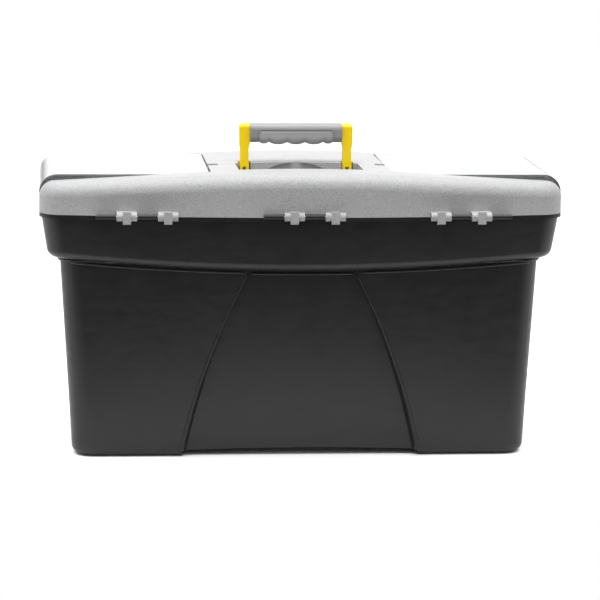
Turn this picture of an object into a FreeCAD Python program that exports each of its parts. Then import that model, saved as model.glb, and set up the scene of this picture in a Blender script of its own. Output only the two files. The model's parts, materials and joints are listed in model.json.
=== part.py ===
import FreeCAD, Part
import math
import os

from FreeCAD import Vector

# Toolbox with a lift-out tray. Millimetres, +Z up, X along the length, hinges on the +Y side and
# latches on the -Y side. The finished parts stand on Z = 0 with the origin in the middle of the base.
# Heights in this file are measured from a datum that lies DATUM_Z above the floor.

# ---- driving dimensions ----------------------------------------------------------------------
HALF_LENGTH = 300.0       # rim and lid, half the overall length
HALF_DEPTH = 155.0        # rim and lid, half the depth at the middle of the bowed sides
BOW_RADIUS = 1547.0       # plan radius of the bowed front and rear
RIM_CORNER = 30.0         # plan corner radius of rim and lid
WALL = 3.0                # moulded wall of base and lid
DATUM_Z = 3.5             # height of the datum above the floor
FLOOR_TOP = 0.5           # upper side of the base's floor

# lower body of the base
FOOT_LENGTH = 262.6       # half-length at the floor
FOOT_DEPTH = 112.0        # half-depth at the floor
NECK_LENGTH = 277.0       # half-length under the collar
NECK_DEPTH = 126.0        # half-depth under the collar
NECK_BOW = 1950.0         # plan radius of the neck's long sides
NECK_Z = 236.0
FOOT_ROUND = 12.0         # rounding of the bottom edges
PANEL_STEP = 9.0          # the middle panel stands back by this much
PANEL_TOP = (60.0, 215.0)
PANEL_MID = (105.5, 111.0)
PANEL_FOOT = (137.5, 2.0)
PANEL_SLOPE = 0.45        # sideways draft of the step per mm of depth
ARCH_END = 2.5            # underside of the middle panel at its ends
ARCH_MID = 5.3
BEAD = 1.8                # raised line on the body under the collar
BEAD_DROP = 5.2           # lower edge of that line under the collar's edge
BEAD_DROP_MID = 7.2

# collar and rim of the base
COLLAR_TOP_LENGTH = 297.4
COLLAR_TOP_DEPTH = 149.0
COLLAR_FOOT_LENGTH = 287.6
COLLAR_FOOT_DEPTH = 139.0
COLLAR_TOP_Z = 276.4
COLLAR_FOOT_Z = 214.0
COLLAR_ROUND = 11.0
SMILE_MID_Z = 217.0       # the collar's lower edge is an arc, lowest in the middle
SMILE_RADIUS = 3400.0
RIM_Z = 280.4
TONGUE_Z = 285.4          # upstand of the rim inside the lid

# lid
LID_Z = 280.9
CREST_HALF = 110.0        # the arched top is round over this half-length, straight beyond it
CREST_END = 310.0
CREST = (330.0, 327.0, 316.1)       # heights at the middle, at CREST_HALF and at CREST_END
CREST_Y = 137.0           # depth at which those heights hold
CREST_TILT = 0.0175       # the top rises towards the rear by this per mm
LID_ROUND = 18.0

# organiser covers and bins in the lid
POCKET_X0 = 104.0
POCKET_X1 = 291.0
POCKET_Y0 = -109.0
POCKET_Y1 = 100.0
POCKET_Z = 316.0
SILL_Z = 299.5            # top of the lid's end wall under the cover's turned-down end
COVER_Z = 323.5
COVER_WALL = 2.2
COVER_ROUND = 20.0
COVER_GAP = 0.6
COVER_END_GAP = 1.5
COVER_AXIS_X = 296.4      # the covers hinge at their outer ends
COVER_AXIS_Z = 303.3
COVER_TUBE = 3.4
ROD_RADIUS = 1.5
NOTCH = (92.0, 10.0, 27.0, 321.0)   # thumb notch in the deck: x, two y, bottom
BIN_X0 = 112.0
BIN_X1 = 286.0
BIN_Y0 = -103.0
BIN_Y1 = 94.0
BIN_Z = 284.0
BIN_WALL = 1.8

# handle, pivoted in slots in the front wall of its well
PIVOT_Y = 4.0
PIVOT_Z = 311.0
PIVOT_RADIUS = 2.5
ARM_MID = 60.5
ARM_ROUND = 7.0
WELL_HALF = 72.0
WELL_Y0 = 16.0
WELL_Y1 = 91.0
WELL_Z = 296.0
SLOT_HALF = 7.2
SLOT_Y0 = -8.0
SLOT_Z = 300.0
GRIP_Z0 = 350.6
GRIP_Z1 = 372.8
GRIP_HALF_DEPTH = 12.0
GRIP_HALF = 54.1
PAD_HALF = 44.4
PAD_TOP = 365.6

# rear hinge
HINGE_Y = 157.0
HINGE_Z = 282.0
KNUCKLE_RADIUS = 4.75     # knuckles of the lid
BASE_KNUCKLE = 2.9        # the slimmer knuckles of the base
TONGUE_WALL = 2.0
KNUCKLE_PITCH = 23.2
KNUCKLE_LENGTH = 22.6
PIN_RADIUS = 1.6
FIT = 0.06                # radial clearance of a pin in its bore
HOOK_WIDTH = 9.0
HOOK_REACH = 8.5
# name, x of the first knuckle, and whether that first knuckle belongs to the base
HINGES = (("left", 224.9, True), ("centre", 35.9, True), ("right", -153.9, False))

# front latches
LATCH_X = 150.0
LATCH_Y = -158.5
LATCH_Z = 296.0
LATCH_HALF = 22.0
LATCH_THICK = 3.8
LATCH_FOOT_Z = 238.0
LATCH_BARREL = 4.5
EAR_WIDTH = 7.0
CATCH_Z0 = 255.0
CATCH_Z1 = 266.0
CATCH_Y = -155.0

# padlock eye
EYE_Y = -160.0
EYE_RADIUS = 4.0
EYE_OUTER = 8.5

# tray
TRAY_FLANGE_Z = 235.2
TRAY_TOP_Z = 237.4
TRAY_FLOOR_Z = 188.0
TRAY_WALL = 2.2
TRAY_FOOT = (256.0, 97.0)
TRAY_MOUTH = (262.0, 103.0)
TRAY_FLANGE = (279.5, 131.0)
TRAY_HANDLE_Z = 275.0
DIVIDER_THICK = 1.6
DIVIDER_XS = (-176.0, -44.0, 44.0, 176.0)


# ---- helpers ---------------------------------------------------------------------------------
def box(x0, x1, y0, y1, z0, z1):
    return Part.makeBox(x1 - x0, y1 - y0, z1 - z0, Vector(x0, y0, z0))


def rod_x(radius, x0, x1, y, z):
    return Part.makeCylinder(radius, x1 - x0, Vector(x0, y, z), Vector(1, 0, 0))


def rod_y(radius, y0, y1, x, z):
    return Part.makeCylinder(radius, y1 - y0, Vector(x, y0, z), Vector(0, 1, 0))


def rod_z(radius, z0, z1, x, y):
    return Part.makeCylinder(radius, z1 - z0, Vector(x, y, z0), Vector(0, 0, 1))


def arc(a, b, c):
    return Part.Arc(a, b, c).toShape()


def mirror_x(shape):
    return shape.mirror(Vector(0, 0, 0), Vector(1, 0, 0))


def outline_xz(points, y0, y1):
    """Prism along Y over a polygon of (x, z) points."""
    wire = Part.makePolygon([Vector(x, y0, z) for x, z in points + points[:1]])
    return Part.Face(wire).extrude(Vector(0, y1 - y0, 0))


def outline_yz(points, x0, x1):
    """Prism along X over a polygon of (y, z) points."""
    wire = Part.makePolygon([Vector(x0, y, z) for y, z in points + points[:1]])
    return Part.Face(wire).extrude(Vector(x1 - x0, 0, 0))


def plan_wire(half_x, half_y, corner, z, bow=BOW_RADIUS):
    """Rounded rectangle with bowed long sides: bow arcs, tangent corner arcs and straight ends."""
    centre_y = half_y - bow
    cx = half_x - corner
    cy = centre_y + math.sqrt((bow - corner) ** 2 - cx ** 2)
    stretch = bow / (bow - corner)
    tx = cx * stretch
    ty = centre_y + (cy - centre_y) * stretch
    half_turn = math.atan2(cy - centre_y, cx) / 2
    mx = cx + corner * math.cos(half_turn)
    my = cy + corner * math.sin(half_turn)

    def p(x, y):
        return Vector(x, y, z)

    edges = [arc(p(-tx, ty), p(0, half_y), p(tx, ty)),
             arc(p(tx, ty), p(mx, my), p(half_x, cy)),
             Part.makeLine(p(half_x, cy), p(half_x, -cy)),
             arc(p(half_x, -cy), p(mx, -my), p(tx, -ty)),
             arc(p(tx, -ty), p(0, -half_y), p(-tx, -ty)),
             arc(p(-tx, -ty), p(-mx, -my), p(-half_x, -cy)),
             Part.makeLine(p(-half_x, -cy), p(-half_x, cy)),
             arc(p(-half_x, cy), p(-mx, my), p(-tx, ty))]
    return Part.Wire(edges)


def plan_prism(half_x, half_y, corner, z0, z1, bow=BOW_RADIUS):
    return Part.Face(plan_wire(half_x, half_y, corner, z0, bow)).extrude(Vector(0, 0, z1 - z0))


def loft(lower, upper):
    return Part.makeLoft([lower, upper], True, True)


def round_edges(solid, radius, pick):
    """Fillet the edges that pick() accepts by their bounding box."""
    edges = [e for e in solid.Edges if pick(e.BoundBox)]
    return solid.makeFillet(radius, edges)


STRAIGHT = 60000.0        # plan radius of a side that is straight for all purposes


# ---- base ------------------------------------------------------------------------------------
def body_form(wall, floor_z):
    """Drafted lower body: straight sides at the floor, bowed sides under the collar."""
    foot = plan_wire(FOOT_LENGTH - wall, FOOT_DEPTH - wall, 26.0 - wall, -DATUM_Z, STRAIGHT)
    neck = plan_wire(NECK_LENGTH - wall, NECK_DEPTH - wall, 28.0 - wall, NECK_Z, NECK_BOW)
    form = loft(foot, neck)
    if floor_z > -DATUM_Z:
        form = form.common(box(-400, 400, -400, 400, floor_z, 400))
    return round_edges(form, FOOT_ROUND - wall, lambda b: b.ZMax < floor_z + 0.01)


def panel_wire(y, widen):
    """Outline of the middle panel between its two curved steps."""
    def p(point, side):
        return Vector(side * (point[0] + widen), y, point[1])

    top_z = NECK_Z + 10.0
    lead = (PANEL_TOP[0] - 17.0, top_z)
    tail = (PANEL_FOOT[0] + 0.8, -10.0)
    edges = []
    edges.append(Part.makeLine(p(lead, -1), p(lead, 1)))
    edges.append(Part.makeLine(p(lead, 1), p(PANEL_TOP, 1)))
    edges.append(arc(p(PANEL_TOP, 1), p(PANEL_MID, 1), p(PANEL_FOOT, 1)))
    edges.append(Part.makeLine(p(PANEL_FOOT, 1), p(tail, 1)))
    edges.append(Part.makeLine(p(tail, 1), p(tail, -1)))
    edges.append(Part.makeLine(p(tail, -1), p(PANEL_FOOT, -1)))
    edges.append(arc(p(PANEL_FOOT, -1), p(PANEL_MID, -1), p(PANEL_TOP, -1)))
    edges.append(Part.makeLine(p(PANEL_TOP, -1), p(lead, -1)))
    return Part.Wire(edges)


def panel_block(wall):
    """Block bounded by the two middle panels, longer and taller than the body."""
    inset = PANEL_STEP + wall
    foot = plan_wire(FOOT_LENGTH + 50, FOOT_DEPTH - inset - 0.6, 26.0, -12.0, STRAIGHT)
    neck = plan_wire(NECK_LENGTH + 50, NECK_DEPTH - inset + 0.8, 28.0, NECK_Z + 10.5, NECK_BOW)
    return loft(foot, neck)


def panel_cutter(wall):
    """Space in front of the middle panel, wider outside than at the panel, on both long sides."""
    inner_y = FOOT_DEPTH - PANEL_STEP - 12.0
    outer_y = NECK_DEPTH + 14.0
    spread = PANEL_SLOPE * (outer_y - inner_y) / 2
    rear = loft(panel_wire(inner_y, wall - spread), panel_wire(outer_y, wall + spread))
    front = rear.mirror(Vector(0, 0, 0), Vector(0, 1, 0))
    return rear.fuse(front).cut(panel_block(wall))


def lower_body(wall, side_floor, rise):
    """Body with its middle part raised by an arch, rise above the arch of the underside."""
    both = body_form(wall, side_floor).cut(panel_cutter(wall))
    half = PANEL_FOOT[0] + wall
    a = Vector(-half, -200, ARCH_END + rise)
    b = Vector(0, -200, ARCH_MID + rise)
    c = Vector(half, -200, ARCH_END + rise)
    edges = [arc(a, b, c),
             Part.makeLine(c, Vector(half, -200, -9)),
             Part.makeLine(Vector(half, -200, -9), Vector(-half, -200, -9)),
             Part.makeLine(Vector(-half, -200, -9), a)]
    arch = Part.Face(Part.Wire(edges)).extrude(Vector(0, 400, 0))
    return both.cut(arch)


def above_smile(shift):
    """Everything above the arc of the collar's lower edge, moved up by shift."""
    reach = 310.0
    low = SMILE_MID_Z + shift
    end_z = low + reach ** 2 / (2 * SMILE_RADIUS)
    a = Vector(-reach, -200, end_z)
    c = Vector(reach, -200, end_z)
    edges = [arc(a, Vector(0, -200, low), c),
             Part.makeLine(c, Vector(reach, -200, 320)),
             Part.makeLine(Vector(reach, -200, 320), Vector(-reach, -200, 320)),
             Part.makeLine(Vector(-reach, -200, 320), a)]
    return Part.Face(Part.Wire(edges)).extrude(Vector(0, 400, 0))


def collar_form(wall, top_z):
    """Drafted collar with an arc-shaped, rounded lower edge."""
    grow = (top_z - COLLAR_FOOT_Z) / (COLLAR_TOP_Z - COLLAR_FOOT_Z)
    length = COLLAR_FOOT_LENGTH + grow * (COLLAR_TOP_LENGTH - COLLAR_FOOT_LENGTH)
    depth = COLLAR_FOOT_DEPTH + grow * (COLLAR_TOP_DEPTH - COLLAR_FOOT_DEPTH)
    foot = plan_wire(COLLAR_FOOT_LENGTH - wall, COLLAR_FOOT_DEPTH - wall, 25.0 - wall, COLLAR_FOOT_Z)
    top = plan_wire(length - wall, depth - wall, 27.0 - wall, top_z)
    form = loft(foot, top).common(above_smile(wall))
    return round_edges(form, COLLAR_ROUND - wall, lambda b: b.ZMax < 240.0)


def bead():
    """Raised line that follows the body under the collar, lower on the middle panel."""
    grown = lower_body(-BEAD, -DATUM_Z, 0.0)
    sides = grown.common(above_smile(-BEAD_DROP))
    mid = grown.common(above_smile(-BEAD_DROP_MID)).common(box(-62, 62, -200, 200, 150, 300))
    return sides.fuse(mid).cut(above_smile(3.0))


def knuckles(base_side):
    """Centres along X of the rear hinge knuckles that belong to the base or to the lid."""
    centres = []
    for name, first, base_first in HINGES:
        for k in range(4):
            if (k % 2 == 0) == (base_first == base_side):
                centres.append(first - k * KNUCKLE_PITCH)
    return centres


def eye_tab(z0, z1):
    """Flat tab with a round nose that carries the padlock bore."""
    tab = box(-EYE_OUTER, EYE_OUTER, EYE_Y, -HALF_DEPTH + 6.0, z0, z1)
    return tab.fuse(rod_z(EYE_OUTER, z0, z1, 0, EYE_Y))


def base_tub():
    outer = lower_body(0.0, -DATUM_Z, 0.0)
    outer = outer.fuse(bead())
    outer = outer.fuse(collar_form(0.0, COLLAR_TOP_Z))
    outer = outer.fuse(plan_prism(HALF_LENGTH, HALF_DEPTH, RIM_CORNER, COLLAR_TOP_Z, RIM_Z))
    outer = outer.fuse(plan_prism(HALF_LENGTH - 4.8, HALF_DEPTH - 4.8, RIM_CORNER - 4.8, RIM_Z, TONGUE_Z))
    for x in knuckles(True):
        x0 = x - KNUCKLE_LENGTH / 2
        x1 = x + KNUCKLE_LENGTH / 2
        outer = outer.fuse(box(x0, x1, HALF_DEPTH - 30, HINGE_Y, COLLAR_TOP_Z, RIM_Z))
        outer = outer.fuse(rod_x(BASE_KNUCKLE, x0, x1, HINGE_Y, HINGE_Z))
    for side in (-1, 1):
        catch = outline_yz([(CATCH_Y, CATCH_Z0), (CATCH_Y, CATCH_Z1 - 5), (-138, CATCH_Z1 + 8),
                            (-130, CATCH_Z1 + 8), (-130, CATCH_Z0)], side * LATCH_X - 19, side * LATCH_X + 19)
        outer = outer.fuse(catch)
    outer = outer.fuse(eye_tab(COLLAR_TOP_Z, RIM_Z))
    tub = outer.cut(lower_body(WALL, FLOOR_TOP, FLOOR_TOP + DATUM_Z))
    inset = 4.8 + TONGUE_WALL
    mouth = plan_prism(HALF_LENGTH - inset, HALF_DEPTH - inset, RIM_CORNER - inset, 200, 300)
    tub = tub.cut(collar_form(WALL, TONGUE_Z + 5).common(mouth))
    for x in knuckles(False):
        half = KNUCKLE_LENGTH / 2 + 0.6
        tub = tub.cut(rod_x(KNUCKLE_RADIUS + 0.6, x - half, x + half, HINGE_Y, HINGE_Z))
        half = HOOK_WIDTH / 2 + 0.8
        tub = tub.cut(rod_x(HOOK_REACH + 0.5, x - half, x + half, HINGE_Y, HINGE_Z))
    tub = tub.cut(rod_x(PIN_RADIUS + FIT, -HALF_LENGTH, HALF_LENGTH, HINGE_Y, HINGE_Z))
    tub = tub.cut(rod_z(EYE_RADIUS, COLLAR_TOP_Z - 1, RIM_Z + 1, 0, EYE_Y))
    return tub.removeSplitter()


# ---- lid -------------------------------------------------------------------------------------
def lid_form(wall, z0):
    """Lid block: bowed plan, arched top that falls towards the front, all upper edges rounded."""
    front_y = -200.0
    span = 400.0
    drop = wall + CREST_TILT * (CREST_Y - front_y)
    mid_z, shoulder_z, end_z = [z - drop for z in CREST]
    a = Vector(-CREST_HALF, front_y, shoulder_z)
    b = Vector(0, front_y, mid_z)
    c = Vector(CREST_HALF, front_y, shoulder_z)
    d = Vector(CREST_END, front_y, end_z)
    e = Vector(CREST_END, front_y, z0 - 20)
    f = Vector(-CREST_END, front_y, z0 - 20)
    g = Vector(-CREST_END, front_y, end_z)
    edges = [arc(a, b, c), Part.makeLine(c, d), Part.makeLine(d, e), Part.makeLine(e, f),
             Part.makeLine(f, g), Part.makeLine(g, a)]
    roof = Part.Face(Part.Wire(edges)).extrude(Vector(0, span, CREST_TILT * span))
    form = plan_prism(HALF_LENGTH - wall, HALF_DEPTH - wall, RIM_CORNER - wall, z0, 360.0).common(roof)

    def upper(b):
        across = b.XLength < 0.1 and abs(abs(b.XMin) - CREST_HALF) < 1.0
        return b.ZMin > 305.0 and not across

    return round_edges(form, LID_ROUND - wall, upper)


def pocket(side, grow, floor_z):
    """Recess for one organiser cover, with a deeper step at the lid's end."""
    x0, x1 = POCKET_X0 - grow, POCKET_X1 + grow
    y0, y1 = POCKET_Y0 - grow, POCKET_Y1 + grow
    main = box(x0, x1, y0, y1, floor_z - grow, 360)
    end = box(POCKET_X1 - grow, HALF_LENGTH + 10, y0, y1, SILL_Z - grow, 360)
    both = main.fuse(end)
    return both if side > 0 else mirror_x(both)


def handle_well(grow):
    """Well for the folded handle, with a slot for each arm."""
    well = box(-WELL_HALF - grow, WELL_HALF + grow, WELL_Y0 - grow, WELL_Y1 + grow, WELL_Z - grow, 360)
    for side in (-1, 1):
        x0 = side * ARM_MID - SLOT_HALF - grow
        x1 = side * ARM_MID + SLOT_HALF + grow
        well = well.fuse(box(x0, x1, SLOT_Y0 - grow, WELL_Y0 + grow + 1, SLOT_Z - grow, 360))
    return well


def finger_scoop(grow):
    """Lens-shaped hollow in the front wall of the well."""
    drum = rod_y(75.0, WELL_Y0 - 6 - grow, WELL_Y0 + 1, 0, 253.0)
    return drum.common(box(-44 - grow, 44 + grow, 0, 40, WELL_Z - grow, 360))


def thumb_notch(side, grow):
    """Notch in the deck at the inner end of an organiser cover."""
    x0, y0, y1, z0 = NOTCH
    notch = box(x0 - grow, POCKET_X0 + 1, y0 - grow, y1 + grow, z0 - grow, 360)
    notch = round_edges(notch, 3.0 + grow, lambda b: b.YLength < 0.1 and b.ZLength > 5 and b.XMax < 95)
    return notch if side > 0 else mirror_x(notch)


def lid_shell():
    lid = lid_form(0.0, LID_Z)
    hollow = lid_form(WALL, LID_Z - 5)
    for side in (-1, 1):
        hollow = hollow.cut(pocket(side, WALL, POCKET_Z))
        hollow = hollow.cut(thumb_notch(side, WALL))
    hollow = hollow.cut(handle_well(WALL))
    hollow = hollow.cut(finger_scoop(WALL))
    lid = lid.cut(hollow)
    for side in (-1, 1):
        lid = lid.cut(pocket(side, 0.0, POCKET_Z)).cut(thumb_notch(side, 0.0))
        opening = box(BIN_X0 - 0.5, BIN_X1 + 0.5, BIN_Y0 - 0.5, BIN_Y1 + 0.5, 270, 330)
        slant = [(295.5, SILL_Z + 0.1), (HALF_LENGTH + 1, SILL_Z + 0.1), (HALF_LENGTH + 1, SILL_Z - 2.6)]
        chamfer = outline_xz(slant, POCKET_Y0, POCKET_Y1)
        rod_bore = rod_y(ROD_RADIUS + FIT, POCKET_Y0 - 3.5, POCKET_Y1 + 3.5, COVER_AXIS_X, COVER_AXIS_Z)
        for tool in (opening, chamfer, rod_bore):
            lid = lid.cut(tool if side > 0 else mirror_x(tool))
    lid = lid.cut(handle_well(0.0))
    lid = lid.cut(finger_scoop(0.0))
    lid = lid.cut(rod_x(PIVOT_RADIUS + FIT, -WELL_HALF, WELL_HALF, PIVOT_Y, PIVOT_Z))

    inside = plan_prism(HALF_LENGTH - 1, HALF_DEPTH - 1, RIM_CORNER - 1, LID_Z - 20, 330)
    for x in knuckles(True):
        half = KNUCKLE_LENGTH / 2 + 0.6
        lid = lid.cut(rod_x(BASE_KNUCKLE + 0.7, x - half, x + half, HINGE_Y, HINGE_Z))
    for x in knuckles(False):
        x0 = x - KNUCKLE_LENGTH / 2
        x1 = x + KNUCKLE_LENGTH / 2
        web = box(x0, x1, HALF_DEPTH - 30, HINGE_Y, LID_Z, HINGE_Z + KNUCKLE_RADIUS).cut(inside)
        hook = box(x - HOOK_WIDTH / 2, x + HOOK_WIDTH / 2, HINGE_Y, HINGE_Y + 5.2,
                   HINGE_Z - HOOK_REACH, HINGE_Z + KNUCKLE_RADIUS + 1.4)
        hook = hook.common(rod_x(HOOK_REACH, x - 10, x + 10, HINGE_Y, HINGE_Z))
        for piece in (web, rod_x(KNUCKLE_RADIUS, x0, x1, HINGE_Y, HINGE_Z), hook):
            lid = lid.fuse(piece)
    lid = lid.cut(rod_x(PIN_RADIUS + FIT, -HALF_LENGTH, HALF_LENGTH, HINGE_Y, HINGE_Z))

    for side in (-1, 1):
        for end in (-1, 1):
            mid = side * LATCH_X + end * (LATCH_HALF + 0.5 + EAR_WIDTH / 2)
            x0 = mid - EAR_WIDTH / 2
            x1 = mid + EAR_WIDTH / 2
            ear = outline_yz([(LATCH_Y, LATCH_Z - LATCH_BARREL), (-130, LATCH_Z - LATCH_BARREL - 4),
                              (-130, LATCH_Z + LATCH_BARREL + 9), (LATCH_Y, LATCH_Z + LATCH_BARREL)], x0, x1)
            ear = ear.fuse(rod_x(LATCH_BARREL, x0, x1, LATCH_Y, LATCH_Z)).cut(inside)
            lid = lid.fuse(ear)
    lid = lid.cut(rod_x(PIN_RADIUS + FIT, -HALF_LENGTH, HALF_LENGTH, LATCH_Y, LATCH_Z))
    lid = lid.fuse(eye_tab(LID_Z, LID_Z + 4.5).cut(inside))
    lid = lid.cut(rod_z(EYE_RADIUS, LID_Z - 1, LID_Z + 6, 0, EYE_Y))
    return lid.removeSplitter()


# ---- organisers ------------------------------------------------------------------------------
def cover_form(wall, low):
    """Block under the cover's skin: flat top, rounded outer end, open or closed at height low."""
    y0 = POCKET_Y0 + COVER_GAP + wall
    y1 = POCKET_Y1 - COVER_GAP - wall
    x0 = POCKET_X0 + COVER_END_GAP + wall
    x1 = HALF_LENGTH - wall
    top = COVER_Z - wall
    r = COVER_ROUND - wall
    k = r * math.sqrt(0.5)

    def p(x, z):
        return Vector(x, y0, z)

    edges = [Part.makeLine(p(x0, low), p(x0, top)),
             Part.makeLine(p(x0, top), p(x1 - r, top)),
             arc(p(x1 - r, top), p(x1 - r + k, top - r + k), p(x1, top - r)),
             Part.makeLine(p(x1, top - r), p(x1, low)),
             Part.makeLine(p(x1, low), p(x0, low))]
    return Part.Face(Part.Wire(edges)).extrude(Vector(0, y1 - y0, 0))


def organizer_cover():
    """Skin with turned-down edges; its outer end runs down to a tube on the hinge rod."""
    cover = cover_form(0.0, COVER_AXIS_Z).cut(cover_form(COVER_WALL, COVER_AXIS_Z - 5))
    cover = cover.cut(box(POCKET_X0, COVER_AXIS_X - 3.9, -200, 200, 290, POCKET_Z + 0.5))
    y0 = POCKET_Y0 + COVER_GAP
    y1 = POCKET_Y1 - COVER_GAP
    cover = cover.fuse(rod_y(COVER_TUBE, y0, y1, COVER_AXIS_X, COVER_AXIS_Z))
    cover = cover.cut(rod_y(ROD_RADIUS + FIT, y0 - 1, y1 + 1, COVER_AXIS_X, COVER_AXIS_Z))
    return cover.removeSplitter()


def cover_rod():
    return rod_y(ROD_RADIUS, POCKET_Y0 - 2.8, POCKET_Y1 + 2.8, COVER_AXIS_X, COVER_AXIS_Z)


def organizer_bin():
    """Open bin with a flange that rests on the pocket floor, three cells by two."""
    tray = box(BIN_X0, BIN_X1, BIN_Y0, BIN_Y1, BIN_Z, POCKET_Z)
    tray = round_edges(tray, 6.0, lambda b: b.ZLength > 20)
    flange = box(BIN_X0 + 1.2, BIN_X1 + 4, BIN_Y0 - 2.6, BIN_Y1 + 2.6, POCKET_Z, POCKET_Z + 1.8)
    tray = tray.fuse(flange)
    cell_x = (BIN_X1 - BIN_X0 - 4 * BIN_WALL) / 3
    cell_y = (BIN_Y1 - BIN_Y0 - 3 * BIN_WALL) / 2
    for i in range(3):
        for j in range(2):
            x0 = BIN_X0 + BIN_WALL + i * (cell_x + BIN_WALL)
            y0 = BIN_Y0 + BIN_WALL + j * (cell_y + BIN_WALL)
            cell = box(x0, x0 + cell_x, y0, y0 + cell_y, BIN_Z + BIN_WALL, POCKET_Z + 5)
            cell = round_edges(cell, 4.5, lambda b: b.ZLength > 20)
            tray = tray.cut(cell)
    return tray.removeSplitter()


# ---- handle ----------------------------------------------------------------------------------
def handle_frame():
    """Two forked arms joined by the bar inside the grip."""
    mid = ARM_MID
    side = outline_xz([(mid - 5.6, 296), (mid + 5.6, 296), (mid + 5.4, 326), (mid + 4.9, 332), (mid + 4.9, 343),
                       (mid + 6.1, 349), (mid + 6.1, 368.5), (mid + 4.9, 371.6), (mid + 2.0, GRIP_Z1),
                       (mid - 6.3, GRIP_Z1), (mid - 6.3, 349), (mid - 4.9, 343), (mid - 4.9, 332),
                       (mid - 5.4, 326)], -40, 40)
    shank = box(40, 80, PIVOT_Y - 6.5, PIVOT_Y + 6.5, PIVOT_Z, GRIP_Z1)
    shank = round_edges(shank, 5.0, lambda b: b.XLength > 30 and b.ZMin > 350)
    shank = shank.fuse(rod_x(ARM_ROUND, 40, 80, PIVOT_Y, PIVOT_Z))
    arm = side.common(shank)
    arm = arm.cut(box(mid - 2.0, mid + 2.0, -40, 40, 296, 322))
    arm = arm.cut(rod_x(PIVOT_RADIUS + FIT, 40, 80, PIVOT_Y, PIVOT_Z))
    bar = box(-mid, mid, PIVOT_Y - 5, PIVOT_Y + 5, 355, 367)
    bar = round_edges(bar, 3.0, lambda b: b.XLength > 50)
    return arm.fuse(mirror_x(arm)).fuse(bar).removeSplitter()


def grip_form(inset, half):
    """Rounded bar of the grip's section, smaller all round by inset."""
    form = box(-half, half, PIVOT_Y - GRIP_HALF_DEPTH + inset, PIVOT_Y + GRIP_HALF_DEPTH - inset,
               GRIP_Z0 + inset, GRIP_Z1 - inset)
    return round_edges(form, 7.5 - inset, lambda b: b.XLength > 20)


def bar_hollow():
    hollow = box(-GRIP_HALF - 1, GRIP_HALF + 1, PIVOT_Y - 5.1, PIVOT_Y + 5.1, 354.9, 367.1)
    return round_edges(hollow, 3.0, lambda b: b.XLength > 50)


def handle_grip():
    grip = grip_form(0.0, GRIP_HALF)
    grip = round_edges(grip, 0.8, lambda b: b.XLength < 0.01)
    belt = grip_form(-3.0, PAD_HALF + 0.1).cut(grip_form(2.6, PAD_HALF + 1))
    belt = belt.common(box(-60, 60, -60, 60, 340, PAD_TOP + 0.1))
    return grip.cut(belt).cut(bar_hollow())


def handle_grip_pad():
    """Soft belt round the underside of the grip with finger bumps."""
    pad = grip_form(0.4, PAD_HALF).cut(grip_form(2.5, PAD_HALF + 1))
    bumps = []
    for x in (-20.9, 0.0, 20.9):
        bumps.append(rod_y(22.5, -40, 40, x, 370.6))
    for x in (-37.8, 37.8):
        bumps.append(rod_y(9.0, -40, 40, x, 358.0))
    skin = grip_form(-2.6, PAD_HALF).cut(grip_form(2.5, PAD_HALF + 1))
    skin = skin.common(box(-60, 60, -60, 60, 340, 353.5))
    for bump in bumps:
        pad = pad.fuse(skin.common(bump))
    pad = pad.common(box(-60, 60, -60, 60, 340, PAD_TOP))
    return pad.removeSplitter()


def handle_pin():
    reach = SLOT_HALF + WALL - 0.2
    return rod_x(PIVOT_RADIUS, ARM_MID - reach, ARM_MID + reach, PIVOT_Y, PIVOT_Z)


# ---- latches ---------------------------------------------------------------------------------
def latch():
    """Snap latch with a lifted lower lip and a claw rib that faces the catch."""
    outer = LATCH_Y - 3.5
    inner = outer + LATCH_THICK
    profile = [(outer, LATCH_Z), (outer, LATCH_FOOT_Z + 12), (outer - 4.5, LATCH_FOOT_Z),
               (outer - 1.2, LATCH_FOOT_Z - 1), (inner, LATCH_FOOT_Z + 11), (inner, LATCH_Z - 2)]
    plate = outline_yz(profile, LATCH_X - LATCH_HALF, LATCH_X + LATCH_HALF)
    claw = outline_yz([(inner - 1, 247), (CATCH_Y - 0.35, 248.5), (CATCH_Y - 0.35, 252.0), (inner - 1, 254)],
                      LATCH_X - 17, LATCH_X + 17)
    barrel = rod_x(LATCH_BARREL, LATCH_X - LATCH_HALF, LATCH_X + LATCH_HALF, LATCH_Y, LATCH_Z)
    shape = plate.fuse(claw).fuse(barrel)
    shape = shape.cut(rod_x(PIN_RADIUS + FIT, 0, HALF_LENGTH, LATCH_Y, LATCH_Z))
    return shape.removeSplitter()


def latch_pin():
    reach = LATCH_HALF + 0.5 + EAR_WIDTH
    return rod_x(PIN_RADIUS, LATCH_X - reach, LATCH_X + reach, LATCH_Y, LATCH_Z)


# ---- tray ------------------------------------------------------------------------------------
def tray_form(wall, floor_z, top_z):
    foot = plan_wire(TRAY_FOOT[0] - wall, TRAY_FOOT[1] - wall, 16.0 - wall, floor_z, STRAIGHT)
    mouth = plan_wire(TRAY_MOUTH[0] - wall, TRAY_MOUTH[1] - wall, 18.0 - wall, top_z, STRAIGHT)
    return loft(foot, mouth)


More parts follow.
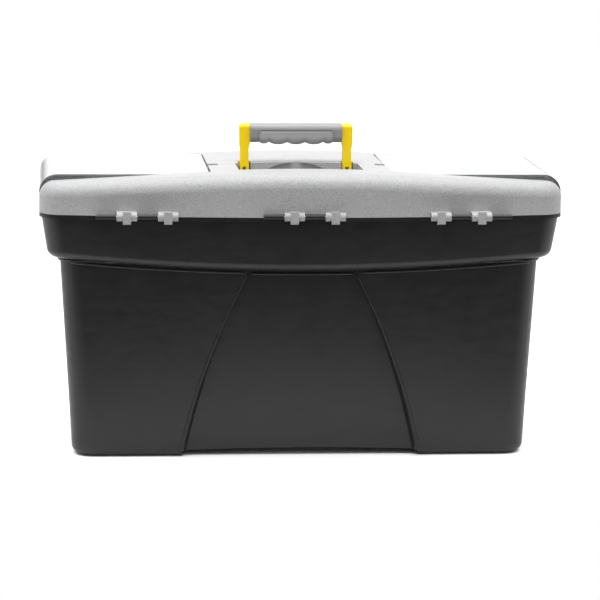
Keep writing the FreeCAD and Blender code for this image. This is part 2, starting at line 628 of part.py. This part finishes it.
def tray():
    tub = tray_form(0.0, TRAY_FLOOR_Z, TRAY_TOP_Z)
    tub = tub.fuse(plan_prism(TRAY_FLANGE[0], TRAY_FLANGE[1], 24.0, TRAY_FLANGE_Z, TRAY_TOP_Z))
    room = tray_form(TRAY_WALL, TRAY_FLOOR_Z, TRAY_TOP_Z + 0.01)
    room = room.cut(box(-300, 300, -200, 200, 0, TRAY_FLOOR_Z + TRAY_WALL))
    tub = tub.cut(room)
    span = TRAY_FOOT[0] + 1
    web = box(-span, span, -1.5, 1.5, TRAY_FLOOR_Z + 1, TRAY_TOP_Z)
    rise = outline_xz([(-105, TRAY_FLOOR_Z + 1), (-105, TRAY_TOP_Z), (-72, TRAY_HANDLE_Z - 8),
                       (-62, TRAY_HANDLE_Z), (62, TRAY_HANDLE_Z), (72, TRAY_HANDLE_Z - 8),
                       (105, TRAY_TOP_Z), (105, TRAY_FLOOR_Z + 1)], -1.5, 1.5)
    hand_hole = round_edges(box(-48, 48, -20, 20, 243, 261), 8.0, lambda b: b.YLength > 30)
    hand_bar = round_edges(box(-60, 60, -8, 8, 263, TRAY_HANDLE_Z), 5.5, lambda b: b.XLength > 50)
    tub = tub.fuse(web).fuse(rise.cut(hand_hole)).fuse(hand_bar)
    depth = TRAY_FOOT[1] + 1
    for x, y0, y1 in ((-110, 0, depth), (110, 0, depth), (0, -depth, 0)):
        tub = tub.fuse(box(x - 1, x + 1, y0, y1, TRAY_FLOOR_Z + 1, TRAY_TOP_Z - 4))
    for x in DIVIDER_XS:
        front = abs(x) < 100
        wall_y = -TRAY_FOOT[1] if front else TRAY_FOOT[1]
        for rib_x in (x - 2.7, x + 1.1):
            inner_y = -1.5 if front else 1.5
            step = -3.0 if front else 3.0
            ys = sorted((inner_y, inner_y + step))
            tub = tub.fuse(box(rib_x, rib_x + 1.6, ys[0], ys[1], TRAY_FLOOR_Z + 1, TRAY_TOP_Z - 4))
            ys = sorted((wall_y + (2 * step if front else step), wall_y - step))
            rib = box(rib_x, rib_x + 1.6, ys[0], ys[1], TRAY_FLOOR_Z + 1, TRAY_TOP_Z - 4)
            tub = tub.fuse(rib.common(tray_form(1.0, TRAY_FLOOR_Z, TRAY_TOP_Z)))
    return tub.removeSplitter()


def tray_divider(x):
    """Plate with drafted outer edge that drops between two pairs of ribs."""
    sign = -1 if abs(x) < 100 else 1
    z0 = TRAY_FLOOR_Z + TRAY_WALL + 0.3
    z1 = TRAY_TOP_Z - 6
    low = TRAY_FOOT[1] - TRAY_WALL - 0.4
    high = low + (z1 - z0) * (TRAY_MOUTH[1] - TRAY_FOOT[1]) / (TRAY_TOP_Z - TRAY_FLOOR_Z)
    points = [(sign * 2.0, z0), (sign * low, z0), (sign * high, z1), (sign * 2.0, z1)]
    return outline_yz(points, x - DIVIDER_THICK / 2, x + DIVIDER_THICK / 2)


# ---- output ----------------------------------------------------------------------------------
def parts():
    found = {"base_tub": base_tub(), "lid_shell": lid_shell(), "tray": tray(),
             "handle_frame": handle_frame(), "handle_grip": handle_grip(), "handle_grip_pad": handle_grip_pad()}
    for name, first, base_first in HINGES:
        x1 = first + KNUCKLE_LENGTH / 2
        x0 = first - 3 * KNUCKLE_PITCH - KNUCKLE_LENGTH / 2
        found["hinge_pin_" + name] = rod_x(PIN_RADIUS, x0, x1, HINGE_Y, HINGE_Z)
    paired = {"organizer_cover": organizer_cover(), "organizer_bin": organizer_bin(), "cover_hinge_pin": cover_rod(),
              "handle_pin": handle_pin(), "latch": latch(), "latch_pin": latch_pin()}
    for name, shape in paired.items():
        found[name + "_left"] = shape
        found[name + "_right"] = mirror_x(shape)
    for number, x in enumerate(DIVIDER_XS, 1):
        found["tray_divider_%d" % number] = tray_divider(x)
    return found


os.makedirs("parts", exist_ok=True)
for node, shape in parts().items():
    solids = shape.Solids
    body = solids[0] if len(solids) == 1 else shape
    body.translate(Vector(0, 0, DATUM_Z))
    print(node, len(solids), "valid" if body.isValid() else "INVALID", round(body.Volume / 1000.0, 2), "cm3")
    body.exportStep("parts/" + node + ".step")
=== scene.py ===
import json
import math

import bmesh
import bpy
from mathutils import Matrix, Vector
from mathutils.bvhtree import BVHTree

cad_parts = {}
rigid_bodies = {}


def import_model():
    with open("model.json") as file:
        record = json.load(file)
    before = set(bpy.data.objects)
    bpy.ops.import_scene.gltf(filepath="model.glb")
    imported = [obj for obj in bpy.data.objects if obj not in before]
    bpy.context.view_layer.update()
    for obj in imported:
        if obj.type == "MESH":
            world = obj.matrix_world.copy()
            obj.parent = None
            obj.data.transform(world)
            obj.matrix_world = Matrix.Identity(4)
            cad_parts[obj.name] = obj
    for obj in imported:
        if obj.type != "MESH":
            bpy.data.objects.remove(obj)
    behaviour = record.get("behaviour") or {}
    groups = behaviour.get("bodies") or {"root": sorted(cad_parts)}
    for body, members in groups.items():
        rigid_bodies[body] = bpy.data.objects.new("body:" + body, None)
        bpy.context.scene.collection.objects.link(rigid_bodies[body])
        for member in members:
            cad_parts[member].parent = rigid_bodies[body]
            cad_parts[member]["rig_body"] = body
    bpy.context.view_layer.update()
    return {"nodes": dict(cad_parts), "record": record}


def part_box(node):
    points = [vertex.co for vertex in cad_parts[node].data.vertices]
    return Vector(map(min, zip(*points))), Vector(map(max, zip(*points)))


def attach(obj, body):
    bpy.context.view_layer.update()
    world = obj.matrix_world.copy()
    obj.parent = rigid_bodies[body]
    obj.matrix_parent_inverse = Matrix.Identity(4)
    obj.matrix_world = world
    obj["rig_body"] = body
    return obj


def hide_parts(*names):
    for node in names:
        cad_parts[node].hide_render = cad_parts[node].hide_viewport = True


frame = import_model()

nodes = frame["nodes"]
node_slot = {part["node"]: part["material_slot"] for part in frame["record"]["subparts"]}

MM = 0.001


# ---- camera ---------------------------------------------------------------------------------
def add_camera():
    """View from behind the box, a little to one side and from above."""
    yaw, pitch, roll = (math.radians(a) for a in (-4.849, 9.2644, 0.6341))
    forward = Vector((math.sin(yaw) * math.cos(pitch), -math.cos(yaw) * math.cos(pitch), -math.sin(pitch)))
    right = forward.cross(Vector((0, 0, 1))).normalized()
    up = right.cross(forward)
    tilted_right = math.cos(roll) * right + math.sin(roll) * up
    tilted_up = -math.sin(roll) * right + math.cos(roll) * up
    data = bpy.data.cameras.new("camera")
    data.sensor_width = 36.0
    data.lens = 177.2
    data.clip_end = 30.0
    camera = bpy.data.objects.new("camera", data)
    axes = Matrix((tilted_right, tilted_up, -forward)).transposed().to_4x4()
    camera.matrix_world = Matrix.Translation((0.28482, 3.44802, 0.72957)) @ axes
    bpy.context.scene.collection.objects.link(camera)
    bpy.context.scene.camera = camera


# ---- light and floor --------------------------------------------------------------------------
SKY = 0.95                # light from the upper half of the surroundings
BACKDROP = 1.1            # more light from the lit backdrop, low on the -Y side
# its fades: a part of the direction, where it has none, and where it is full
BACKDROP_FADES = (("Y", -0.55, -0.9), ("Z", 0.45, 0.25), ("Z", -0.02, 0.05))
SUN = 4.3                 # overhead softbox
FLOOR_REACH = 0.43        # the floor ends here on the +Y side, where the surroundings are dark


def add_world():
    """White to the camera; as a light it is dark under the horizon, bright above, and glows on the -Y side."""
    world = bpy.data.worlds.new("studio")
    bpy.context.scene.world = world
    world.use_nodes = True
    tree = world.node_tree
    new, link = tree.nodes.new, tree.links.new
    seen = tree.nodes["Background"]
    seen.inputs["Color"].default_value = (1, 1, 1, 1)
    seen.inputs["Strength"].default_value = 1.0
    place = new("ShaderNodeTexCoord")
    split = new("ShaderNodeSeparateXYZ")
    link(place.outputs["Generated"], split.inputs[0])
    ramp = new("ShaderNodeMapRange")
    ramp.inputs["From Min"].default_value = -0.05
    ramp.inputs["From Max"].default_value = 0.3
    ramp.inputs["To Min"].default_value = 0.02
    ramp.inputs["To Max"].default_value = SKY
    link(split.outputs["Z"], ramp.inputs["Value"])
    light = new("ShaderNodeBackground")
    light.inputs["Color"].default_value = (1, 1, 1, 1)
    glow = ramp.outputs[0]
    for axis, start, end in BACKDROP_FADES:
        part = new("ShaderNodeMapRange")
        part.inputs["From Min"].default_value = start
        part.inputs["From Max"].default_value = end
        link(split.outputs[axis], part.inputs["Value"])
        product = new("ShaderNodeMath")
        product.operation = "MULTIPLY"
        link(part.outputs[0], product.inputs[0])
        if axis == "Y":
            product.inputs[1].default_value = BACKDROP
        else:
            link(glow, product.inputs[1])
        glow = product.outputs[0]
    total = new("ShaderNodeMath")
    link(ramp.outputs[0], total.inputs[0])
    link(glow, total.inputs[1])
    link(total.outputs[0], light.inputs["Strength"])
    path = new("ShaderNodeLightPath")
    mix = new("ShaderNodeMixShader")
    link(path.outputs["Is Camera Ray"], mix.inputs[0])
    link(light.outputs[0], mix.inputs[1])
    link(seen.outputs[0], mix.inputs[2])
    link(mix.outputs[0], tree.nodes["World Output"].inputs["Surface"])


def add_overhead():
    data = bpy.data.lights.new("overhead", "SUN")
    data.energy = SUN
    data.angle = math.radians(70)
    light = bpy.data.objects.new("overhead", data)
    light.rotation_euler = (math.radians(-6), math.radians(4), 0)
    bpy.context.scene.collection.objects.link(light)


def floor_material():
    """White round the object and greyer further out: a painted pool of light, standing in for the overhead
    light falling off away from the object.
    """
    material = bpy.data.materials.new("floor_light_pool")
    material.use_nodes = True
    tree = material.node_tree
    new, link = tree.nodes.new, tree.links.new
    shader = tree.nodes["Principled BSDF"]
    length = new("ShaderNodeVectorMath")
    length.operation = "LENGTH"
    link(new("ShaderNodeTexCoord").outputs["Object"], length.inputs[0])
    # painted pool of light: the floor's colour fades from white near the object to grey further out
    ramp = new("ShaderNodeMapRange")
    ramp.inputs["From Min"].default_value = 0.25
    ramp.inputs["From Max"].default_value = 0.9
    ramp.inputs["To Min"].default_value = 0.95
    ramp.inputs["To Max"].default_value = 0.62
    link(length.outputs["Value"], ramp.inputs["Value"])
    colour = new("ShaderNodeCombineColor")
    for socket in colour.inputs:
        link(ramp.outputs[0], socket)
    link(colour.outputs[0], shader.inputs["Base Color"])
    shader.inputs["Roughness"].default_value = 0.8
    return material


def add_studio():
    add_world()
    add_overhead()
    bpy.context.scene.view_settings.view_transform = "Standard"
    mesh = bpy.data.meshes.new("floor")
    mesh.from_pydata([(-5, -6, 0), (5, -6, 0), (5, FLOOR_REACH, 0), (-5, FLOOR_REACH, 0)], [], [(0, 1, 2, 3)])
    floor = bpy.data.objects.new("floor", mesh)
    bpy.context.scene.collection.objects.link(floor)
    mesh.materials.append(floor_material())


# ---- materials --------------------------------------------------------------------------------
class Nodes:
    """Short-hand for building one material's node tree, in the row frame's coordinates."""

    def __init__(self, name):
        self.material = bpy.data.materials.new(name)
        self.material.use_nodes = True
        self.tree = self.material.node_tree
        self.shader = self.tree.nodes["Principled BSDF"]
        self.place = self.tree.nodes.new("ShaderNodeTexCoord").outputs["Object"]

    def link(self, a, b):
        self.tree.links.new(a, b)

    def noise(self, scale, detail=2.0, rough=0.5, stretch=None):
        node = self.tree.nodes.new("ShaderNodeTexNoise")
        node.inputs["Scale"].default_value = scale
        node.inputs["Detail"].default_value = detail
        node.inputs["Roughness"].default_value = rough
        source = self.place
        if stretch:
            mapping = self.tree.nodes.new("ShaderNodeMapping")
            mapping.inputs["Scale"].default_value = stretch
            self.link(source, mapping.inputs["Vector"])
            source = mapping.outputs[0]
        self.link(source, node.inputs["Vector"])
        return node.outputs["Fac"]

    def ramp(self, value, low, high, to_low, to_high):
        node = self.tree.nodes.new("ShaderNodeMapRange")
        node.inputs["From Min"].default_value = low
        node.inputs["From Max"].default_value = high
        node.inputs["To Min"].default_value = to_low
        node.inputs["To Max"].default_value = to_high
        self.link(value, node.inputs["Value"])
        return node.outputs[0]

    def math(self, operation, a, b):
        node = self.tree.nodes.new("ShaderNodeMath")
        node.operation = operation
        for socket, value in zip(node.inputs, (a, b)):
            if isinstance(value, (int, float)):
                socket.default_value = value
            else:
                self.link(value, socket)
        return node.outputs[0]

    def mix(self, factor, a, b):
        node = self.tree.nodes.new("ShaderNodeMix")
        node.data_type = "RGBA"
        self.link(factor, node.inputs["Factor"])
        for socket, value in ((node.inputs[6], a), (node.inputs[7], b)):
            if isinstance(value, tuple):
                socket.default_value = value
            else:
                self.link(value, socket)
        return node.outputs[2]

    def bump(self, height, strength, distance, under=None):
        node = self.tree.nodes.new("ShaderNodeBump")
        node.inputs["Strength"].default_value = strength
        node.inputs["Distance"].default_value = distance
        self.link(height, node.inputs["Height"])
        if under:
            self.link(under, node.inputs["Normal"])
        return node.outputs[0]

    def edges(self, radius, gain):
        """0 on flat surface, towards 1 on edges, from how far a rounded normal leans away."""
        bevel = self.tree.nodes.new("ShaderNodeBevel")
        bevel.samples = 4
        bevel.inputs["Radius"].default_value = radius
        shape = self.tree.nodes.new("ShaderNodeNewGeometry")
        dot = self.tree.nodes.new("ShaderNodeVectorMath")
        dot.operation = "DOT_PRODUCT"
        self.link(bevel.outputs[0], dot.inputs[0])
        self.link(shape.outputs["Normal"], dot.inputs[1])
        lean = self.math("SUBTRACT", 1.0, dot.outputs["Value"])
        return self.ramp(lean, 0.0, 1.0 / gain, 0.0, 1.0)


def scaled(colour, factor):
    return tuple(min(1.0, c * factor) for c in colour[:3]) + (1.0,)


def moulded(name, colour, rough, grain_mm=1.1, grain=0.35, speckle=0.1, cloud=0.05, wear=1.35, ior=1.46):
    """Moulded plastic: fine grain, cloudy tone, slight scuffs, and edges rubbed lighter."""
    n = Nodes(name)
    base = colour + (1.0,)
    clouds = n.ramp(n.noise(9.0, 4.0), 0.3, 0.7, 0.0, 1.0)
    tone = n.mix(clouds, scaled(base, 1 - cloud), scaled(base, 1 + cloud))
    grain_noise = n.noise(1.0 / (grain_mm * MM), 2.0, 0.55)
    spots = n.ramp(grain_noise, 0.32, 0.68, 0.0, 1.0)
    dark = n.mix(clouds, scaled(base, 1 - cloud - speckle), scaled(base, 1 + cloud - speckle))
    tone = n.mix(spots, dark, tone)
    edge = n.edges(1.2 * MM, 2.4)
    tone = n.mix(n.math("MULTIPLY", edge, n.ramp(n.noise(120.0, 3.0), 0.35, 0.65, 0.25, 0.8)),
                 tone, scaled(base, wear))
    n.link(tone, n.shader.inputs["Base Color"])
    scuff = n.ramp(n.noise(35.0, 5.0, 0.65, (1.0, 1.0, 3.0)), 0.3, 0.7, rough - 0.05, rough + 0.07)
    n.link(n.math("SUBTRACT", scuff, n.math("MULTIPLY", edge, 0.08)), n.shader.inputs["Roughness"])
    waves = n.bump(n.noise(22.0, 2.0), 0.08, 0.6 * MM)
    n.link(n.bump(grain_noise, grain, 0.16 * MM, waves), n.shader.inputs["Normal"])
    n.shader.inputs["IOR"].default_value = ior
    return n.material


def clear_plastic(name):
    """Milky clear plastic with flow clouds and fine scratches, with painted shade: faces that do not face up
    are coloured much darker than its top.
    """
    n = Nodes(name)
    clouds = n.ramp(n.noise(11.0, 4.0), 0.3, 0.7, 0.0, 1.0)
    own_normal = n.tree.nodes.new("ShaderNodeTexCoord").outputs["Normal"]
    split = n.tree.nodes.new("ShaderNodeSeparateXYZ")
    n.link(own_normal, split.inputs[0])
    # painted shade: by how far a face turns from up, the colour goes from the light top grey to a dark grey
    # standing in for shade and the dark walls seen through the cover
    upward = n.ramp(split.outputs["Z"], 0.15, 0.75, 0.0, 1.0)
    top = n.mix(clouds, (0.86, 0.88, 0.89, 1), (0.91, 0.93, 0.94, 1))
    painted_shade_sides = n.mix(clouds, (0.36, 0.37, 0.375, 1), (0.42, 0.43, 0.435, 1))
    n.link(n.mix(upward, painted_shade_sides, top), n.shader.inputs["Base Color"])
    haze = n.ramp(n.noise(60.0, 4.0, 0.6, (1.0, 3.0, 1.0)), 0.3, 0.7, 0.16, 0.24)
    n.link(haze, n.shader.inputs["Roughness"])
    scratches = n.noise(1500.0, 2.0, 0.5, (1.0, 0.06, 1.0))
    n.link(n.bump(scratches, 0.03, 0.02 * MM), n.shader.inputs["Normal"])
    n.shader.inputs["IOR"].default_value = 1.49
    n.shader.inputs["Transmission Weight"].default_value = 0.85
    return n.material


def rubber(name):
    n = Nodes(name)
    clouds = n.ramp(n.noise(30.0, 4.0), 0.3, 0.7, 0.0, 1.0)
    edge = n.edges(1.0 * MM, 2.0)
    tone = n.mix(clouds, (0.30, 0.30, 0.305, 1), (0.35, 0.35, 0.355, 1))
    n.link(n.mix(n.math("MULTIPLY", edge, 0.5), tone, (0.48, 0.48, 0.485, 1)), n.shader.inputs["Base Color"])
    n.link(n.ramp(n.noise(90.0, 3.0), 0.3, 0.7, 0.62, 0.8), n.shader.inputs["Roughness"])
    n.link(n.bump(n.noise(2600.0, 2.0), 0.3, 0.08 * MM), n.shader.inputs["Normal"])
    return n.material


def drawn_steel(name):
    n = Nodes(name)
    streaks = n.noise(900.0, 2.0, 0.5, (0.03, 1.0, 1.0))
    n.link(n.mix(streaks, (0.42, 0.42, 0.43, 1), (0.60, 0.60, 0.61, 1)), n.shader.inputs["Base Color"])
    n.link(n.ramp(streaks, 0.3, 0.7, 0.25, 0.42), n.shader.inputs["Roughness"])
    n.link(n.bump(streaks, 0.15, 0.03 * MM), n.shader.inputs["Normal"])
    n.shader.inputs["Metallic"].default_value = 1.0
    return n.material


def make_materials():
    return {
        "black_shell": moulded("black_shell", (0.0075, 0.0075, 0.0080), 0.40, 1.2, 0.45, 0.12, 0.08,
                               wear=4.5, ior=1.44),
        "lid_grey": moulded("lid_grey", (0.40, 0.40, 0.405), 0.50, 1.4, 0.70, 0.28, 0.02, 1.25),
        "tray_grey": moulded("tray_grey", (0.40, 0.40, 0.405), 0.50, 1.2, 0.35, 0.10, 0.03, 1.25),
        "bin_grey": moulded("bin_grey", (0.52, 0.52, 0.525), 0.42, 0.9, 0.20, 0.05, 0.03, 1.2),
        "divider_grey": moulded("divider_grey", (0.56, 0.56, 0.565), 0.42, 0.9, 0.20, 0.05, 0.03, 1.2),
        "handle_yellow": moulded("handle_yellow", (1.0, 0.70, 0.002), 0.34, 0.9, 0.15, 0.04, 0.03, 1.12),
        "grip_grey": moulded("grip_grey", (0.27, 0.27, 0.275), 0.42, 0.9, 0.25, 0.08, 0.04, 1.3),
        "clear_cover": clear_plastic("clear_cover"),
        "grip_soft": rubber("grip_soft"),
        "pin_steel": drawn_steel("pin_steel"),
    }


# ---- pieces -----------------------------------------------------------------------------------
def add_piece(name, mesh, node):
    """Object over a mesh that stands for a CAD node, in that node's material."""
    piece = bpy.data.objects.new(name, mesh)
    bpy.context.scene.collection.objects.link(piece)
    mesh.materials.clear()
    mesh.materials.append(materials[node_slot[node]])
    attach(piece, nodes[node]["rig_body"])
    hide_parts(node)
    return piece


def refine(node, width, segments=3, angle=32.0):
    """The CAD node's own surface, joined up, with every sharp edge rounded."""
    mesh = nodes[node].data.copy()
    mesh.name = node + "_skin"
    work = bmesh.new()
    work.from_mesh(mesh)
    bmesh.ops.remove_doubles(work, verts=work.verts, dist=0.004 * MM)
    bmesh.ops.dissolve_degenerate(work, edges=work.edges, dist=0.002 * MM)
    bmesh.ops.dissolve_limit(work, angle_limit=math.radians(0.4), verts=work.verts, edges=work.edges)
    for face in work.faces:
        face.smooth = True
    work.to_mesh(mesh)
    work.free()
    piece = add_piece(node + "_skin", mesh, node)
    bevel = piece.modifiers.new("round", "BEVEL")
    bevel.width = width * MM
    bevel.segments = segments
    bevel.limit_method = "ANGLE"
    bevel.angle_limit = math.radians(angle)
    bevel.use_clamp_overlap = True
    bevel.harden_normals = False
    normals = piece.modifiers.new("normals", "WEIGHTED_NORMAL")
    normals.keep_sharp = True
    return piece


PAD_CORNER = 7.2          # round between the pad's sides and its underside
PAD_HANG = 2.9            # deepest finger bulge under the flat underside
PAD_INSET = 0.15          # the pad's faces lie this much inside the grip core's
PAD_WALL = 1.8
PAD_EDGE = 0.8            # width of the round at the pad's edges
PAD_EDGE_DROP = 0.7       # depth of that round
BULGE_RISE = 8.0          # the bulges fade out over this height up the sides
BULGE_OUT = 0.35          # share of a bulge that goes outwards
LINE_INSET = 1.3          # from the pad's edge to the moulded line
LINE_CORNER, LINE_DEPTH, LINE_WIDTH = 5.0, 0.9, 0.62

# the bulges: middle, radius and depth of each arc
FINGERS = ((-20.9, 22.5, 2.9), (0.0, 22.5, 2.9), (20.9, 22.5, 2.9), (-37.8, 9.0, 2.0), (37.8, 9.0, 2.0))


def finger_bump(x):
    """How far the pad's underside bulges down at x: arcs given by middle, radius and depth, in mm."""
    depths = [0.0]
    for middle, radius, depth in FINGERS:
        if abs(x - middle) < radius:
            depths.append(depth - radius + math.sqrt(radius ** 2 - (x - middle) ** 2))
    return max(depths)


def pad_groove(x, z, half, top):
    """Depth of the moulded line round each long face of the pad, which has rounded upper corners."""
    dx = max(abs(x) - (half - LINE_CORNER), 0.0)
    dz = max(z - (top - LINE_CORNER), 0.0)
    away = math.hypot(dx, dz) - LINE_CORNER
    return LINE_DEPTH * math.exp(-(away / LINE_WIDTH) ** 2)


def grip_pad():
    """Soft belt round the grip: finger bulges under it, a moulded line round its faces."""
    node = "handle_grip_pad"
    low, high = (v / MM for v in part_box(node))
    half = (high.x - low.x) / 2
    middle_y = (high.y + low.y) / 2
    depth = nodes_half_depth("handle_grip") - PAD_INSET
    flat_z = low.z + PAD_HANG
    corner = PAD_CORNER
    side = high.z - flat_z - corner
    flat = 2 * (depth - corner)
    bend = corner * math.pi / 2
    total = 2 * side + 2 * bend + flat
    across, along = 96, 176
    work = bmesh.new()
    rows = []
    for i in range(along + 1):
        x = -half + 2 * half * i / along
        end = min(1.0, (half - abs(x)) / PAD_EDGE)
        bump = finger_bump(x)
        row = []
        for k in range(across + 1):
            s = total * k / across
            turn = 1 if s > total / 2 else -1
            t = min(s, total - s)
            if t < side:
                y, z, ny, nz = depth, high.z - t, 1.0, 0.0
            elif t < side + bend:
                a = (t - side) / corner
                ny, nz = math.cos(a), -math.sin(a)
                y, z = depth - corner + corner * ny, flat_z + corner + corner * nz
            else:
                y, z, ny, nz = depth - corner - (t - side - bend), flat_z, 0.0, -1.0
            lift = smooth((flat_z + BULGE_RISE - z) / BULGE_RISE) * bump
            out = -pad_groove(x, z, half - LINE_INSET, high.z - LINE_INSET) if nz > -0.6 else 0.0
            lip = min(1.0, t / PAD_EDGE)
            out -= PAD_EDGE_DROP * (1 - math.sqrt(1 - (1 - min(end, lip)) ** 2))
            place = Vector((x, middle_y - turn * (y + out * ny + BULGE_OUT * lift * ny), z + out * nz - lift))
            row.append(work.verts.new(place * MM))
        rows.append(row)
    for a, b in zip(rows, rows[1:]):
        for k in range(across):
            face = work.faces.new((a[k], a[k + 1], b[k + 1], b[k]))
            face.smooth = True
    bmesh.ops.recalc_face_normals(work, faces=work.faces)
    mesh = bpy.data.meshes.new("grip_pad")
    work.to_mesh(mesh)
    work.free()
    piece = add_piece("grip_pad", mesh, node)
    shell = piece.modifiers.new("thickness", "SOLIDIFY")
    shell.thickness = PAD_WALL * MM
    shell.offset = -1.0
    return piece


STEP_EDGE = ((60.0, 218.5), (105.5, 114.5), (137.5, 5.5))   # x and z of the edge beside the middle panel
RIB = 1.7                 # radius of the raised ribs
RIB_SIDES = 12
RIB_LOW, RIB_RISE = 6.0, 209.5   # foot and height of the ribs beside the middle panels
RIB_ASIDE = 1.5           # from the panel's edge to such a rib
COLLAR_LOW = 216.5        # lower edge of the collar at x = 0, on the outer panels
COLLAR_SMILE = 6800.0     # the edge rises by x squared over this
PANEL_EDGE = 62.0         # half width of the middle panel up there
MIDDLE_DROP = 2.0         # the collar's edge is this much lower on the middle panel
END_X = 290.0             # beyond this the collar's edge stays level
SINK = 0.3                # how far a rib's middle lies under the surface
OUTSIDE = (330.0, 190.0, 66.0)   # half length, half depth and corner of a walk round the base
LOOK_FROM = 190.0         # rays to the front and rear faces start here


def surface_of(node):
    solid = nodes[node]
    points = [solid.matrix_world @ v.co for v in solid.data.vertices]
    return BVHTree.FromPolygons(points, [tuple(f.vertices) for f in solid.data.polygons])


def on_surface(tree, start, direction):
    """Point a little under the surface met from start, and the surface's normal there."""
    place, normal, _, _ = tree.ray_cast(Vector(start) * MM, Vector(direction))
    return place - normal * SINK * MM, normal


def bar(work, stations, radius):
    """Round bar through the stations (point and outward direction), drawn in at both ends."""
    rings = []
    last = len(stations) - 1
    for i, (point, out) in enumerate(stations):
        along = (stations[min(i + 1, last)][0] - stations[max(i - 1, 0)][0]).normalized()
        side = out.cross(along).normalized()
        out = along.cross(side)
        r = radius * MM * (0.3 if i in (0, last) else 1.0)
        turns = [k * 2 * math.pi / RIB_SIDES for k in range(RIB_SIDES)]
        rings.append([work.verts.new(point + (out * math.cos(a) + side * math.sin(a)) * r) for a in turns])
    for a, b in zip(rings, rings[1:]):
        for k in range(RIB_SIDES):
            work.faces.new((a[k], a[k - 1], b[k - 1], b[k])).smooth = True
    for ring in (rings[0], rings[-1]):
        work.faces.new(ring)


def step_edge(z):
    """The x of the panel edge at height z, through the three points of STEP_EDGE."""
    total = 0.0
    for i, (x, own) in enumerate(STEP_EDGE):
        others = [other for j, (_, other) in enumerate(STEP_EDGE) if j != i]
        total += x * (z - others[0]) * (z - others[1]) / ((own - others[0]) * (own - others[1]))
    return total


def collar_edge(x):
    return COLLAR_LOW + x * x / COLLAR_SMILE


def round_walk(half_x, half_y, corner, step):
    """Points round a rounded rectangle from the middle of the +Y side, with inward directions."""
    walk = []
    for turn in range(4):
        a0 = math.pi / 2 - turn * math.pi / 2
        long_side = half_x if turn % 2 == 0 else half_y
        other = half_y if turn % 2 == 0 else half_x
        out = Vector((math.cos(a0), math.sin(a0), 0))
        along = Vector((out.y, -out.x, 0))
        flat = long_side - corner
        count = int(2 * flat / step)
        for k in range(count + 1):
            walk.append((out * other + along * (-flat + 2 * flat * k / count), -out))
        for k in range(1, 12):
            a = a0 - k * math.pi / 24
            d = Vector((math.cos(a), math.sin(a), 0))
            walk.append((out * (other - corner) + along * flat + d * corner, -d))
    return walk


def panel_side(tree, face_y, side):
    """Stations up one edge of a middle panel."""
    stations = []
    for k in range(56):
        z = RIB_LOW + RIB_RISE * k / 55
        x = side * (step_edge(z) + RIB_ASIDE)
        stations.append(on_surface(tree, (x, face_y * LOOK_FROM, z), (0, -face_y, 0)))
    return stations


def panel_top(tree, face_y):
    """Stations along the collar's edge over a middle panel."""
    stations = []
    for k in range(41):
        x = PANEL_EDGE * (k / 20 - 1) * 0.96
        z = collar_edge(x) - MIDDLE_DROP
        stations.append(on_surface(tree, (x, face_y * LOOK_FROM, z), (0, -face_y, 0)))
    return stations


def collar_round(tree, side):
    """Stations along the collar's edge round one end of the base, in order from one face to the other."""
    stations = []
    for start, inward in round_walk(*OUTSIDE, 6.0):
        if side * start.x < PANEL_EDGE:
            continue
        z = collar_edge(min(abs(start.x), END_X))
        stations.append(on_surface(tree, (start.x, start.y, z), inward))
    if side < 0:
        gaps = [(b[0] - a[0]).length for a, b in zip(stations, stations[1:])]
        after = gaps.index(max(gaps)) + 1
        stations = stations[after:] + stations[:after]
    return stations


def base_ribs():
    """Raised ribs of the base: beside the middle panels, and along the collar's lower edge."""
    tree = surface_of("base_tub")
    work = bmesh.new()
    for face_y in (1, -1):
        for side in (1, -1):
            bar(work, panel_side(tree, face_y, side), RIB)
        bar(work, panel_top(tree, face_y), RIB)
    for side in (1, -1):
        bar(work, collar_round(tree, side), RIB)
    bmesh.ops.recalc_face_normals(work, faces=work.faces)
    mesh = bpy.data.meshes.new("base_ribs")
    work.to_mesh(mesh)
    work.free()
    mesh.materials.append(materials["black_shell"])
    piece = bpy.data.objects.new("base_ribs", mesh)
    bpy.context.scene.collection.objects.link(piece)
    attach(piece, nodes["base_tub"]["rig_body"])


def nodes_half_depth(node):
    low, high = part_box(node)
    return (high.y - low.y) / 2 / MM


def smooth(t):
    t = max(0.0, min(1.0, t))
    return t * t * (3 - 2 * t)


def plain(node):
    """A small CAD node that stays as it is, in its real material."""
    data = nodes[node].data
    data.materials.clear()
    data.materials.append(materials[node_slot[node]])


materials = make_materials()
add_camera()
add_studio()

refine("base_tub", 0.9)
base_ribs()
refine("lid_shell", 0.7)
refine("tray", 0.5)
refine("handle_frame", 1.1, 4)
refine("handle_grip", 0.7)
grip_pad()
for side in ("left", "right"):
    refine("organizer_cover_" + side, 0.7)
    refine("organizer_bin_" + side, 0.5)
    refine("latch_" + side, 0.9)
    plain("cover_hinge_pin_" + side)
    plain("handle_pin_" + side)
    plain("latch_pin_" + side)
for number in range(1, 5):
    refine("tray_divider_%d" % number, 0.35)
for name in ("left", "centre", "right"):
    plain("hinge_pin_" + name)
